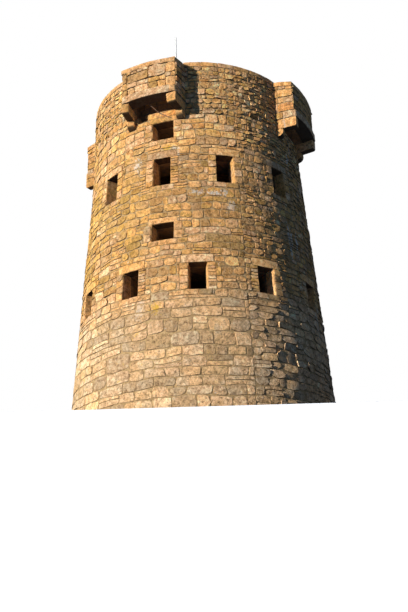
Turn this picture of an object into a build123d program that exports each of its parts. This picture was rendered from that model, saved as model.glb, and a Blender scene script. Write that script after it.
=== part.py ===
# Round coastal defence tower of granite: a battered wall with two rings of
# loopholes, two timber floors, a vaulted roof platform behind a parapet, and
# four machicolations carried on rolled corbels.
#
# Lengths are in millimetres and angles in degrees. Ground level is z = 0 and
# the tower's axis is Z. An azimuth is measured from -Y and grows towards +X.

import os
from math import asin, cos, degrees, radians, sin, sqrt, tan

from build123d import *

# Radii, from the rim inwards and down
rim_radius = 3750
upper_batter = 9
batter = 625
parapet_thickness = 800
vault_bearing = 200
second_ledge_width = 150
first_ledge_width = 250
batter_radius = rim_radius + upper_batter
ground_radius = batter_radius + batter
roof_inner_radius = rim_radius - parapet_thickness
second_inner_radius = roof_inner_radius - vault_bearing
first_inner_radius = second_inner_radius - second_ledge_width
base_inner_radius = first_inner_radius - first_ledge_width

# Timber floors
joist_depth = 225
joist_width = 110
joist_pitch = 460
board_thickness = 50
floor_play = 4

# Levels, each above the one before
first_ledge_height = 2325
first_floor_height = first_ledge_height + joist_depth + board_thickness
lower_sill_rise = 1106
lower_loophole_height = 898
lower_sill_height = first_floor_height + lower_sill_rise
lower_head_height = lower_sill_height + lower_loophole_height
middle_window_rise = 880
middle_window_height = 596
middle_window_sill = lower_head_height + middle_window_rise
middle_window_head = middle_window_sill + middle_window_height
second_ledge_height = middle_window_head
second_floor_height = second_ledge_height + joist_depth + board_thickness
upper_sill_rise = 1131
upper_loophole_height = 1026
upper_sill_height = second_floor_height + upper_sill_rise
upper_head_height = upper_sill_height + upper_loophole_height
vault_spring_rise = 745
top_window_height = 676
vault_spring_height = upper_head_height + vault_spring_rise
top_window_sill = vault_spring_height
top_window_head = top_window_sill + top_window_height
vault_rise = 1000
parapet_foot_rise = 427
platform_rise = 240
parapet_foot_height = top_window_head + parapet_foot_rise
platform_height = parapet_foot_height + platform_rise
vault_crown_height = vault_spring_height + vault_rise
parapet_height = 1600
rim_height = platform_height + parapet_height
batter_rise = 1190
batter_height = upper_head_height + batter_rise

# The ring wall is built in segments, one of them centred on segment_azimuth
segment_count = 12
segment_azimuth = -16.5

# Loopholes
loophole_width = 590
outer_splay = 7
throat_depth = 480
embrasure_width = 900
loophole_count = 12
lower_first_azimuth = -62.0
lower_seen_pitch = 30.6
lower_seen_count = 5
upper_first_azimuth = -47.7
upper_seen_pitch = 30.7
upper_seen_count = 4

# Dressed stones round the loopholes
dressing_depth = 380
jamb_width = 260
lintel_height = 270
lintel_end = 205
sill_stone_height = 190
sill_end = 120

# Wide low windows between and above the rings of loopholes
wide_window_width = 745
wide_embrasure_width = 980
wide_window_end = 100
middle_window_azimuth = -16.3
top_window_azimuth = -16.8
wide_lintel_height = 190

# Doorway on the first floor, under the rear machicolation
door_azimuth = 159.2
door_width = 950
door_inner_width = 1200
door_clear_angle = 14
door_head_height = lower_head_height
door_jamb_width = 225
door_lintel_end = 260
door_step_height = 200
door_leaf_depth = 330
door_leaf_thickness = 70
door_leaf_play = 4

# Vault under the roof platform, in two courses of wedges and a keystone
keystone_radius = 420
vault_play = 0.3

# Parapet and its coping
parapet_wedges_between_boxes = 4
coping_height = 170
coping_overhang = 25
coping_joint = 8
coping_stones_between_boxes = 6

# Machicolations: boxes that stand out from the parapet on corbels
box_azimuths = (-20.8, 63.4, 159.2, 242.8)
box_half_width = 971
box_half_width_at_wall = 1026
box_reach = 705
box_slot_reach = 250
box_wall_setback = 95
box_coping_height = 165
box_coping_overhang = 45
box_wall_height = 942
box_lintel_height = 275
box_lintel_roll = 90
corner_block_width = 196
corner_block_bulge = 14
corner_block_roll = 120
corbel_width = 256
upper_corbel_height = 366
upper_corbel_roll = 70
lower_corbel_height = 281
lower_corbel_reach = 257
lower_corbel_roll = 190
corbel_embedment = 330
lower_corbel_rise = 14
sill_wall_setback = 300
sill_wall_rise = 800
worn_coping_setback = 25
box_lintel_radius = rim_radius + box_reach
box_inner_radius = rim_radius + box_slot_reach
box_wall_radius = box_lintel_radius - box_wall_setback
lower_corbel_foot = top_window_head + lower_corbel_rise
upper_corbel_foot = lower_corbel_foot + lower_corbel_height
upper_corbel_top = upper_corbel_foot + upper_corbel_height
box_lintel_top = upper_corbel_top + box_lintel_height
box_wall_top = box_lintel_top + box_wall_height
box_top_height = box_wall_top + box_coping_height
sill_wall_top_height = platform_height + sill_wall_rise
opening_half_width = box_half_width_at_wall - corbel_width

# Stone lost from the lip of the front drop slot
lost_stone_azimuth = -27.8
lost_stone_width = 350
lost_stone_height = 235
lost_stone_depth = 260

# Iron bar tailed into the wall, bent along it and up to the lintel of the front slot
bar_radius = 14
bar_wall_gap = 10
bar_tail_offset = 562
bar_tail_drop = 320
bar_bend_offset = 152
bar_bend_drop = 45
bar_lintel_offset = -130

# Mast that stands on the ledge, at the right cheek of the front opening
mast_radius = 22
mast_rise = 1120
mast_setback = 40
mast_gap = 12
lower_bracket_rise = 640
upper_bracket_rise = 1300
bracket_height = 60
bracket_length = 60
mast_foot_height = parapet_foot_height
mast_top_height = rim_height + mast_rise
mast_distance = rim_radius - mast_setback
mast_bracket_heights = (mast_foot_height + lower_bracket_rise, mast_foot_height + upper_bracket_rise)

# A length that reaches safely past a face
past = 400

# Widest half angle that a stone or corbel takes beside its azimuth
block_reach = 18

coping_foot_height = rim_height - coping_height


def outer_radius(height):
    # The wall is battered up to batter_height and almost upright above it.
    if height < batter_height:
        share = height / batter_height
        return ground_radius + (batter_radius - ground_radius) * share
    share = (height - batter_height) / (rim_height - batter_height)
    return batter_radius + (rim_radius - batter_radius) * share


def outer_points(bottom, top):
    # Points up the outer face, as radius and height.
    points = [(outer_radius(bottom), bottom)]
    if bottom < batter_height < top:
        points.append((batter_radius, batter_height))
    points.append((outer_radius(top), top))
    return points


def radial_plane(azimuth):
    # Upright plane through the axis: local x runs outwards and local y up.
    turn = radians(azimuth)
    return Plane(
        origin=(0, 0, 0),
        x_dir=(sin(turn), -cos(turn), 0),
        z_dir=(-cos(turn), -sin(turn), 0),
    )


def facing_plane(azimuth, height):
    # Level plane whose local -y points outwards at the azimuth.
    turn = radians(azimuth)
    return Plane(
        origin=(0, 0, height),
        x_dir=(cos(turn), sin(turn), 0),
        z_dir=(0, 0, 1),
    )


def ring_azimuths(first, seen_pitch, seen_count, count):
    # One pitch round the seen side, and the rest shared out evenly behind.
    rest_pitch = (360 - seen_pitch * (seen_count - 1)) / (count - seen_count + 1)
    azimuths = [first + seen_pitch * step for step in range(seen_count)]
    for step in range(1, count - seen_count + 1):
        azimuths.append(first + seen_pitch * (seen_count - 1) + rest_pitch * step)
    return azimuths


def angle_between(one, other):
    return abs((one - other + 180) % 360 - 180)


def wall_wedge(start, arc, inner_radius, bottom, top, cutters=()):
    # Part of the ring wall from one azimuth to another, less its openings.
    with BuildPart() as wedge:
        with BuildSketch(radial_plane(start)):
            with BuildLine():
                Polyline(
                    (inner_radius, bottom),
                    *outer_points(bottom, top),
                    (inner_radius, top),
                    close=True,
                )
            make_face()
        revolve(axis=Axis.Z, revolution_arc=arc)
        if cutters:
            add(cutters, mode=Mode.SUBTRACT)
    return wedge.part


def tower_mass(bottom, top):
    # The whole round mass inside the wall's outer face.
    with BuildPart() as mass:
        with BuildSketch(Plane.XZ):
            with BuildLine():
                Polyline((0, bottom), *outer_points(bottom, top), (0, top), close=True)
            make_face()
        revolve(axis=Axis.Z)
    return mass.part


def plan_block(azimuth, points, bottom, top):
    # Upright block with the given outline in the plane that faces outwards.
    with BuildPart() as block:
        with BuildSketch(facing_plane(azimuth, bottom)):
            with BuildLine():
                Polyline(*points, close=True)
            make_face()
        extrude(amount=top - bottom)
    return block.part


def opening_points(width, inner_width, height, inner_radius):
    # Outline of a splayed opening: narrowing to a throat and widening inwards.
    face = outer_radius(height)
    splay = tan(radians(outer_splay))
    mouth = width / 2 + past * splay
    throat = width / 2 - throat_depth * splay
    inward = (inner_width / 2 - throat) / (face - throat_depth - inner_radius)
    inside = inner_width / 2 + past * inward
    right = [
        (mouth, -face - past),
        (throat, throat_depth - face),
        (inside, past - inner_radius),
    ]
    left = [(-x, y) for x, y in reversed(right)]
    return right + left


def slab_points(half_width, depth, height):
    # Outline of a dressed stone set into the outer face.
    face = outer_radius(height)
    return [
        (-half_width, depth - face),
        (half_width, depth - face),
        (half_width, -face - past),
        (-half_width, -face - past),
    ]


class Opening:
    # A window or doorway with its dressed stones.

    def __init__(
        self,
        azimuth,
        width,
        inner_width,
        sill,
        head,
        inner_radius,
        jamb_width=jamb_width,
        lintel_end=lintel_end,
        lintel_height=lintel_height,
        sill_end=sill_end,
        sill_height=sill_stone_height,
    ):
        self.azimuth = azimuth
        self.sill = sill
        self.head = head
        middle = (sill + head) / 2
        outline = opening_points(width, inner_width, middle, inner_radius)
        self.hole = plan_block(azimuth, outline, sill, head)
        jambs = slab_points(width / 2 + jamb_width, dressing_depth, middle)
        self.jamb_block = plan_block(azimuth, jambs, sill, head)
        lintel = slab_points(width / 2 + lintel_end, dressing_depth, middle)
        self.lintel_block = plan_block(azimuth, lintel, head, head + lintel_height)
        stool = slab_points(width / 2 + sill_end, dressing_depth, middle)
        self.sill_block = plan_block(azimuth, stool, sill - sill_height, sill)
        self.blocks = [
            (azimuth, sill, head, self.hole),
            (azimuth, sill, head, self.jamb_block),
            (azimuth, head, head + lintel_height, self.lintel_block),
            (azimuth, sill - sill_height, sill, self.sill_block),
        ]


def blocks_of(openings):
    return [block for opening in openings for block in opening.blocks]


def dressed(block, hole=None):
    # A dressed stone follows the wall's outer face.
    with BuildPart() as stone:
        add(block)
        add(whole_mass, mode=Mode.INTERSECT)
        if hole is not None:
            add(hole, mode=Mode.SUBTRACT)
    return stone.part


def joined(pieces):
    # Several separate solids kept as one piece.
    with BuildPart() as group:
        add(list(pieces))
    return group.part


def segment_starts():
    arc = 360 / segment_count
    return [segment_azimuth - arc / 2 + arc * step for step in range(segment_count)]


def cutters_near(blocks, azimuth, half_arc, bottom, top):
    # The blocks that may reach into a stretch of wall.
    return [
        block
        for at, low, high, block in blocks
        if low < top and high > bottom and angle_between(at, azimuth) < half_arc + block_reach
    ]


def holds_azimuth(start, arc, azimuth):
    return (azimuth - start) % 360 < arc


def ring_halves(inner_radius, bottom, top, blocks, window=None):
    # Every second segment of a ring of wall, and then the ones between them. The
    # segment with a window or doorway stops at its sill, below the piers beside it.
    arc = 360 / segment_count
    halves = [[], []]
    for step, start in enumerate(segment_starts()):
        segment_top = top
        if window is not None and holds_azimuth(start, arc, window.azimuth):
            segment_top = window.sill
        if segment_top > bottom:
            near = cutters_near(blocks, start + arc / 2, arc / 2, bottom, segment_top)
            halves[step % 2].append(wall_wedge(start, arc, inner_radius, bottom, segment_top, near))
    return joined(halves[0]), joined(halves[1])


def piers_beside(window, inner_radius, top, blocks):
    # The two piers of the segment that a window or doorway stands in.
    arc = 360 / segment_count
    for start in segment_starts():
        if holds_azimuth(start, arc, window.azimuth):
            near = cutters_near(blocks, start + arc / 2, arc / 2, window.sill, top)
            return wall_wedge(start, arc, inner_radius, window.sill, top, near)


def pier_ring(openings, inner_radius, bottom, top):
    # The piers that stand between the openings of one ring.
    ordered = sorted(openings, key=lambda opening: opening.azimuth)
    blocks = blocks_of(openings)
    piers = []
    for step, opening in enumerate(ordered):
        following = ordered[(step + 1) % len(ordered)]
        arc = (following.azimuth - opening.azimuth) % 360
        cutters = cutters_near(blocks, opening.azimuth + arc / 2, arc / 2, bottom, top)
        piers.append(wall_wedge(opening.azimuth, arc, inner_radius, bottom, top, cutters))
    return joined(piers)


whole_mass = tower_mass(0, rim_height)

# Openings
lower_ring = ring_azimuths(
    lower_first_azimuth, lower_seen_pitch, lower_seen_count, loophole_count
)
lower_loopholes = [
    Opening(
        azimuth,
        loophole_width,
        embrasure_width,
        lower_sill_height,
        lower_head_height,
        first_inner_radius,
    )
    for azimuth in lower_ring
    if angle_between(azimuth, door_azimuth) > door_clear_angle
]
upper_ring = ring_azimuths(
    upper_first_azimuth, upper_seen_pitch, upper_seen_count, loophole_count
)
upper_loopholes = [
    Opening(
        azimuth,
        loophole_width,
        embrasure_width,
        upper_sill_height,
        upper_head_height,
        second_inner_radius,
    )
    for azimuth in upper_ring
]


def wide_window(azimuth, sill, head, inner_radius):
    return Opening(
        azimuth,
        wide_window_width,
        wide_embrasure_width,
        sill,
        head,
        inner_radius,
        lintel_end=wide_window_end,
        lintel_height=wide_lintel_height,
        sill_end=wide_window_end,
    )


middle_window = wide_window(
    middle_window_azimuth, middle_window_sill, middle_window_head, first_inner_radius
)
top_window = wide_window(
    top_window_azimuth, top_window_sill, top_window_head, second_inner_radius
)
wide_windows = [middle_window, top_window]
doorway = Opening(
    door_azimuth,
    door_width,
    door_inner_width,
    first_floor_height,
    door_head_height,
    first_inner_radius,
    jamb_width=door_jamb_width,
    lintel_end=door_lintel_end,
    sill_end=door_jamb_width,
    sill_height=door_step_height,
)


# Machicolation geometry, in a plan that faces the box: x sideways, -y outwards
def y_at(radius, x):
    return -sqrt(radius**2 - x**2)


def box_point(azimuth, x, radius, height):
    return facing_plane(azimuth, 0).from_local_coords(Vector(x, y_at(radius, x), height))


side_run = y_at(box_lintel_radius, box_half_width) - y_at(rim_radius, box_half_width_at_wall)
side_lean = (box_half_width - box_half_width_at_wall) / side_run
side_angle = degrees(asin((box_half_width_at_wall - box_half_width) / -side_run))


def side_x(y, inset=0):
    # The box's outer side face, or a line parallel to it further in.
    return box_half_width_at_wall + side_lean * (y - y_at(rim_radius, box_half_width_at_wall)) - inset


def cheek_outline(side, outer_inset, inner_inset, back):
    # Outline of one side of the box, between two lines parallel to its face.
    front = -box_lintel_radius - past
    return [
        (side * side_x(back, outer_inset), back),
        (side * side_x(front, outer_inset), front),
        (side * side_x(front, inner_inset), front),
        (side * side_x(back, inner_inset), back),
    ]


def round_mass(radius, bottom, top):
    with BuildPart() as mass:
        with BuildSketch(Plane.XY.offset(bottom)):
            Circle(radius)
        extrude(amount=top - bottom)
    return mass.part


def corbel(azimuth, side, foot, top, reach, roll):
    # A corbel stone, rolled along its lower front edge and tailed into the wall.
    heading = azimuth - side * side_angle
    plane = Plane(
        origin=box_point(azimuth, side * box_half_width_at_wall, rim_radius, 0),
        x_dir=radial_plane(heading).x_dir,
        z_dir=radial_plane(heading).z_dir,
    )
    with BuildPart() as stone:
        with BuildSketch(plane):
            with BuildLine():
                Line((-corbel_embedment, foot), (-corbel_embedment, top))
                Line((-corbel_embedment, top), (reach, top))
                Line((reach, top), (reach, foot + roll))
                RadiusArc((reach, foot + roll), (reach - roll, foot), roll)
                Line((reach - roll, foot), (-corbel_embedment, foot))
            make_face()
        extrude(amount=side * corbel_width)
    return stone.part


upper_reach = y_at(rim_radius, box_half_width_at_wall) - y_at(box_lintel_radius, box_half_width)
upper_corbels = [
    corbel(azimuth, side, upper_corbel_foot, upper_corbel_top, upper_reach, upper_corbel_roll)
    for azimuth in box_azimuths
    for side in (-1, 1)
]
lower_corbels = [
    corbel(azimuth, side, lower_corbel_foot, upper_corbel_foot, lower_corbel_reach, lower_corbel_roll)
    for azimuth in box_azimuths
    for side in (-1, 1)
]
corbel_azimuths = [azimuth for azimuth in box_azimuths for side in (-1, 1)]
corbel_blocks = [
    (azimuth, upper_corbel_foot, upper_corbel_top, block)
    for azimuth, block in zip(corbel_azimuths, upper_corbels)
]
corbel_blocks += [
    (azimuth, lower_corbel_foot, upper_corbel_foot, block)
    for azimuth, block in zip(corbel_azimuths, lower_corbels)
]

# Place of the stone that is lost from the lip of the front drop slot
lost_stone = plan_block(
    lost_stone_azimuth,
    slab_points(lost_stone_width / 2, lost_stone_depth, parapet_foot_height),
    parapet_foot_height - lost_stone_height,
    platform_height,
)
lost_blocks = [
    (lost_stone_azimuth, parapet_foot_height - lost_stone_height, platform_height, lost_stone)
]


# Ring walls, storey by storey
all_blocks = blocks_of(lower_loopholes + upper_loopholes + wide_windows + [doorway])
all_blocks += corbel_blocks + lost_blocks
base_wall_a, base_wall_b = ring_halves(
    base_inner_radius, 0, first_ledge_height, all_blocks
)
first_wall_a, first_wall_b = ring_halves(
    first_inner_radius, first_ledge_height, lower_sill_height, all_blocks, doorway
)
first_piers = pier_ring(
    lower_loopholes + [doorway], first_inner_radius, lower_sill_height, lower_head_height
)
middle_wall_a, middle_wall_b = ring_halves(
    first_inner_radius, lower_head_height, second_ledge_height, all_blocks, middle_window
)
second_wall_a, second_wall_b = ring_halves(
    second_inner_radius, second_ledge_height, upper_sill_height, all_blocks
)
second_piers = pier_ring(
    upper_loopholes, second_inner_radius, upper_sill_height, upper_head_height
)
upper_wall_a, upper_wall_b = ring_halves(
    second_inner_radius, upper_head_height, vault_spring_height, all_blocks
)
vault_wall_a, vault_wall_b = ring_halves(
    roof_inner_radius, vault_spring_height, top_window_head, all_blocks, top_window
)
roof_wall_a, roof_wall_b = ring_halves(
    roof_inner_radius, top_window_head, parapet_foot_height, all_blocks
)
opening_piers = joined(
    [
        piers_beside(doorway, first_inner_radius, lower_sill_height, all_blocks),
        piers_beside(middle_window, first_inner_radius, second_ledge_height, all_blocks),
        piers_beside(top_window, roof_inner_radius, top_window_head, all_blocks),
    ]
)


# Parapet, open behind each machicolation
def parapet_parts():
    outline = [
        (-opening_half_width, 0),
        (opening_half_width, 0),
        (opening_half_width, -rim_radius - past),
        (-opening_half_width, -rim_radius - past),
    ]
    ordered = sorted(azimuth % 360 for azimuth in box_azimuths)
    halves = [[], []]
    for step, azimuth in enumerate(ordered):
        following = ordered[(step + 1) % len(ordered)]
        arc = (following - azimuth) % 360 / parapet_wedges_between_boxes
        for wedge in range(parapet_wedges_between_boxes):
            start = azimuth + arc * wedge
            box = azimuth if wedge < parapet_wedges_between_boxes / 2 else following
            near = [plan_block(box, outline, parapet_foot_height, rim_height)]
            near += cutters_near(corbel_blocks, box, 0, parapet_foot_height, coping_foot_height)
            halves[wedge % 2].append(
                wall_wedge(
                    start, arc, roof_inner_radius, parapet_foot_height, coping_foot_height, near
                )
            )
    return joined(halves[0]), joined(halves[1])


parapet_a, parapet_b = parapet_parts()


def sill_wall(azimuth):
    # Low wall behind the box, set back so that a ledge is left along the drop slot.
    outline = [
        (-opening_half_width, 0),
        (opening_half_width, 0),
        (opening_half_width, -rim_radius),
        (-opening_half_width, -rim_radius),
    ]
    outer = rim_radius - sill_wall_setback
    with BuildPart() as wall:
        add(plan_block(azimuth, outline, parapet_foot_height, sill_wall_top_height))
        add(round_mass(outer, parapet_foot_height, sill_wall_top_height), mode=Mode.INTERSECT)
        add(
            round_mass(roof_inner_radius, parapet_foot_height - past, sill_wall_top_height + past),
            mode=Mode.SUBTRACT,
        )
        add(
            cutters_near(corbel_blocks, azimuth, 0, parapet_foot_height, sill_wall_top_height),
            mode=Mode.SUBTRACT,
        )
    return wall.part


sill_walls = joined(sill_wall(azimuth) for azimuth in box_azimuths)


def coping_stones():
    # Coping stones with open joints, left out behind the boxes.
    ordered = sorted(azimuth % 360 for azimuth in box_azimuths)
    gap_angle = degrees(asin(opening_half_width / roof_inner_radius))
    joint_angle = degrees(coping_joint / rim_radius)
    stones = []
    for step, azimuth in enumerate(ordered):
        following = ordered[(step + 1) % len(ordered)]
        arc = (following - azimuth) % 360
        pitch = (arc - 2 * gap_angle) / coping_stones_between_boxes
        for stone in range(coping_stones_between_boxes):
            start = azimuth + gap_angle + pitch * stone + joint_angle / 2
            with BuildPart() as block:
                with BuildSketch(radial_plane(start)):
                    with BuildLine():
                        Polyline(
                            (roof_inner_radius - coping_overhang, coping_foot_height),
                            (rim_radius + coping_overhang, coping_foot_height),
                            (rim_radius + coping_overhang, rim_height),
                            (roof_inner_radius - coping_overhang, rim_height),
                            close=True,
                        )
                    make_face()
                revolve(axis=Axis.Z, revolution_arc=pitch - joint_angle)
            stones.append(block.part)
    return joined(stones)


parapet_coping = coping_stones()

# Dressed stones
loopholes = lower_loopholes + upper_loopholes
loophole_lintels = joined(dressed(opening.lintel_block) for opening in loopholes)
loophole_sills = joined(dressed(opening.sill_block) for opening in loopholes)
loophole_jambs = joined(dressed(opening.jamb_block, opening.hole) for opening in loopholes)
wide_lintels = joined(dressed(opening.lintel_block) for opening in wide_windows)
wide_sills = joined(dressed(opening.sill_block) for opening in wide_windows)
wide_jambs = joined(dressed(opening.jamb_block, opening.hole) for opening in wide_windows)
door_lintel = dressed(doorway.lintel_block)
door_step = dressed(doorway.sill_block)
door_jambs = dressed(doorway.jamb_block, doorway.hole)


def door_leaf_part():
    # Plank leaf closed across the doorway, between the splayed jambs.
    face = outer_radius((doorway.sill + doorway.head) / 2)
    front = door_leaf_depth - face
    back = front + door_leaf_thickness
    splay = tan(radians(outer_splay))
    outline = [
        (door_width / 2 - door_leaf_depth * splay - door_leaf_play, front),
        (door_width / 2 - (door_leaf_depth + door_leaf_thickness) * splay - door_leaf_play, back),
    ]
    outline += [(-x, y) for x, y in reversed(outline)]
    return plan_block(door_azimuth, outline, first_floor_height, door_head_height - door_leaf_play)


door_leaf = door_leaf_part()


# Timber floors, each on the ledge where the wall gets thinner
def joists(ledge_height, wall_radius):
    reach = wall_radius - floor_play
    count = int((reach - joist_width) / joist_pitch)
    pieces = []
    for step in range(-count, count + 1):
        x = step * joist_pitch
        half_length = sqrt(reach**2 - (abs(x) + joist_width / 2) ** 2)
        with BuildPart() as joist:
            with BuildSketch(Plane.XY.offset(ledge_height)):
                with Locations((x, 0)):
                    Rectangle(joist_width, 2 * half_length)
            extrude(amount=joist_depth)
        pieces.append(joist.part)
    return joined(pieces)


def boards(ledge_height, wall_radius):
    bottom = ledge_height + joist_depth
    return round_mass(wall_radius - floor_play, bottom, bottom + board_thickness)


first_joists = joists(first_ledge_height, first_inner_radius)
first_boards = boards(first_ledge_height, first_inner_radius)
second_joists = joists(second_ledge_height, second_inner_radius)
second_boards = boards(second_ledge_height, second_inner_radius)


# Vault: a shallow dome under a level platform
vault_sphere = (second_inner_radius**2 + vault_rise**2) / (2 * vault_rise)
haunch_drop = vault_crown_height - top_window_head
haunch_radius = sqrt(2 * vault_sphere * haunch_drop - haunch_drop**2)
vault_back_radius = roof_inner_radius - vault_play


def soffit_point(radius):
    return (radius, vault_crown_height - vault_sphere + sqrt(vault_sphere**2 - radius**2))


def vault_wedge(start, outer, inner, back):
    # A wedge of the vault: its soffit runs inwards, and back lists its other corners.
    with BuildPart() as wedge:
        with BuildSketch(radial_plane(start)):
            with BuildLine():
                springing = soffit_point(outer)
                key = soffit_point(inner)
                ThreePointArc(springing, soffit_point((outer + inner) / 2), key)
                Polyline(key, *back, springing)
            make_face()
        revolve(axis=Axis.Z, revolution_arc=360 / segment_count)
    return wedge.part


def haunch_wedge(start):
    # The lower course, cut through where the top window looks in.
    back = [(vault_back_radius, top_window_head), (vault_back_radius, vault_spring_height)]
    wedge = vault_wedge(start, second_inner_radius, haunch_radius, back)
    arc = 360 / segment_count
    if angle_between(top_window.azimuth, start + arc / 2) < arc + block_reach:
        with BuildPart() as cut:
            add(wedge)
            add(lunette, mode=Mode.SUBTRACT)
        return cut.part
    return wedge


def crown_wedge(start):
    back = [
        (keystone_radius, platform_height),
        (vault_back_radius, platform_height),
        (vault_back_radius, top_window_head),
    ]
    return vault_wedge(start, haunch_radius, keystone_radius, back)


lunette = plan_block(
    top_window.azimuth,
    [
        (wide_embrasure_width / 2, 0),
        (wide_embrasure_width / 2, -roof_inner_radius - past),
        (-wide_embrasure_width / 2, -roof_inner_radius - past),
        (-wide_embrasure_width / 2, 0),
    ],
    vault_spring_height - past,
    top_window.head,
)
haunches = [haunch_wedge(start) for start in segment_starts()]
crowns = [crown_wedge(start) for start in segment_starts()]
haunch_a = joined(haunches[0::2])
haunch_b = joined(haunches[1::2])
crown_a = joined(crowns[0::2])
crown_b = joined(crowns[1::2])

key_radius = keystone_radius - vault_play
with BuildPart() as keystone:
    with BuildSketch(radial_plane(0)):
        with BuildLine():
            middle = soffit_point(key_radius / 2)
            ThreePointArc((0, vault_crown_height), middle, soffit_point(key_radius))
            Polyline(
                soffit_point(key_radius),
                (key_radius, platform_height),
                (0, platform_height),
                (0, vault_crown_height),
            )
        make_face()
    revolve(axis=Axis.Z)


# Machicolation walls
def front_piece(azimuth, radius, left_inset, right_inset, bottom, top, left_roll=0, right_roll=0):
    # A curved piece across the front of the box, between two lines parallel to its sides.
    front = -box_lintel_radius - past
    back = -rim_radius
    outline = [
        (side_x(back, right_inset), back),
        (side_x(front, right_inset), front),
        (-side_x(front, left_inset), front),
        (-side_x(back, left_inset), back),
    ]
    with BuildPart() as piece:
        with BuildSketch(facing_plane(azimuth, bottom)):
            with BuildLine():
                Polyline(*outline, close=True)
            make_face()
            Circle(radius, mode=Mode.INTERSECT)
            Circle(box_inner_radius, mode=Mode.SUBTRACT)
        extrude(amount=top - bottom)
        edges = piece.edges().filter_by(Axis.Z).sort_by(lambda edge: edge.center().length)
        sideways = facing_plane(azimuth, 0).x_dir
        corners = ShapeList(edges[-2:]).sort_by(lambda edge: edge.center().dot(sideways))
        if left_roll:
            fillet(corners[0], left_roll)
        if right_roll:
            fillet(corners[1], right_roll)
    return piece.part


def corner_block(azimuth):
    # The bulging stone at the right end of the lintel, over the corbel.
    front = -box_lintel_radius - past
    back = -rim_radius
    outline = [
        (side_x(back, -corner_block_bulge), back),
        (side_x(front, -corner_block_bulge), front),
        (side_x(front, corner_block_width), front),
        (side_x(back, corner_block_width), back),
    ]
    with BuildPart() as block:
        with BuildSketch(facing_plane(azimuth, upper_corbel_top)):
            with BuildLine():
                Polyline(*outline, close=True)
            make_face()
            Circle(box_lintel_radius + corner_block_bulge, mode=Mode.INTERSECT)
            Circle(box_inner_radius, mode=Mode.SUBTRACT)
        extrude(amount=box_lintel_height)
        sideways = facing_plane(azimuth, 0).x_dir
        upright = block.edges().filter_by(Axis.Z)
        outer = ShapeList(upright.sort_by(lambda edge: edge.center().length)[-2:])
        fillet(outer.sort_by(lambda edge: edge.center().dot(sideways))[-1], corner_block_roll)
    return block.part


def side_piece(azimuth, side, outer_inset, inner_inset, bottom, top):
    # One side of the box, from the tower's face to the back of its front.
    with BuildPart() as piece:
        with BuildSketch(facing_plane(azimuth, bottom)):
            with BuildLine():
                Polyline(*cheek_outline(side, outer_inset, inner_inset, -roof_inner_radius), close=True)
            make_face()
            Circle(box_inner_radius, mode=Mode.INTERSECT)
        extrude(amount=top - bottom)
        add(whole_mass, mode=Mode.SUBTRACT)
    return piece.part


box_lintels = joined(
    front_piece(
        azimuth,
        box_lintel_radius,
        0,
        corner_block_width,
        upper_corbel_top,
        box_lintel_top,
        left_roll=box_lintel_roll,
    )
    for azimuth in box_azimuths
)
corner_blocks = joined(
    corner_block(azimuth)
    for azimuth in box_azimuths
)
box_fronts = joined(
    front_piece(azimuth, box_wall_radius, 0, 0, box_lintel_top, box_wall_top)
    for azimuth in box_azimuths
)
box_sides = joined(
    side_piece(azimuth, side, 0, corbel_width, upper_corbel_top, box_wall_top)
    for azimuth in box_azimuths
    for side in (-1, 1)
)


def coping_inset(azimuth, side):
    # The coping overhangs the box, but it is worn back at the right end of the front one.
    if azimuth == box_azimuths[0] and side > 0:
        return worn_coping_setback
    return -box_coping_overhang


box_front_coping = joined(
    front_piece(
        azimuth,
        box_wall_radius + box_coping_overhang,
        coping_inset(azimuth, -1),
        coping_inset(azimuth, 1),
        box_wall_top,
        box_top_height,
    )
    for azimuth in box_azimuths
)
box_side_coping = joined(
    side_piece(
        azimuth, side, coping_inset(azimuth, side), corbel_width, box_wall_top, box_top_height
    )
    for azimuth in box_azimuths
    for side in (-1, 1)
)


# Iron bar: a tail in the wall, a run close to the wall and a rise to the lintel's lower edge
wall_radius = outer_radius(parapet_foot_height)
bar_run_radius = wall_radius + bar_wall_gap + bar_radius
bar_tail_height = parapet_foot_height - bar_tail_drop
bar_bend_height = parapet_foot_height - bar_bend_drop
bar_end_radius = box_inner_radius + bar_radius * 2
bar_points = [
    box_point(box_azimuths[0], bar_tail_offset, wall_radius - bar_radius * 2, bar_tail_height),
    box_point(box_azimuths[0], bar_tail_offset, bar_run_radius, bar_tail_height),
    box_point(box_azimuths[0], bar_bend_offset, bar_run_radius, bar_bend_height),
    box_point(box_azimuths[0], bar_lintel_offset, bar_end_radius, upper_corbel_top + bar_radius),
]
with BuildPart() as slot_bar:
    for start, end in zip(bar_points, bar_points[1:]):
        with BuildSketch(Plane(origin=start, z_dir=end - start)):
            Circle(bar_radius)
        extrude(amount=(end - start).length)
    with Locations(bar_points[1], bar_points[2]):
        Sphere(bar_radius)
    add(whole_mass, mode=Mode.SUBTRACT)
    add(box_lintels, mode=Mode.SUBTRACT)

# Mast fixed to the cheek of the front opening
mast_x = opening_half_width - mast_gap - mast_radius
mast_point = box_point(box_azimuths[0], mast_x, mast_distance, mast_foot_height)
with BuildPart() as mast:
    with BuildSketch(Plane(origin=mast_point)):
        Circle(mast_radius)
    extrude(amount=mast_top_height - mast_foot_height)

bracket_y = y_at(mast_distance, mast_x)
brackets = []
for height in mast_bracket_heights:
    bracket = plan_block(
        box_azimuths[0],
        [
            (mast_x, bracket_y - bracket_length / 2),
            (opening_half_width, bracket_y - bracket_length / 2),
            (opening_half_width, bracket_y + bracket_length / 2),
            (mast_x, bracket_y + bracket_length / 2),
        ],
        height,
        height + bracket_height,
    )
    with BuildPart() as held:
        add(bracket)
        add(mast.part, mode=Mode.SUBTRACT)
    brackets.append(held.part)
mast_brackets = joined(brackets)

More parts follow.
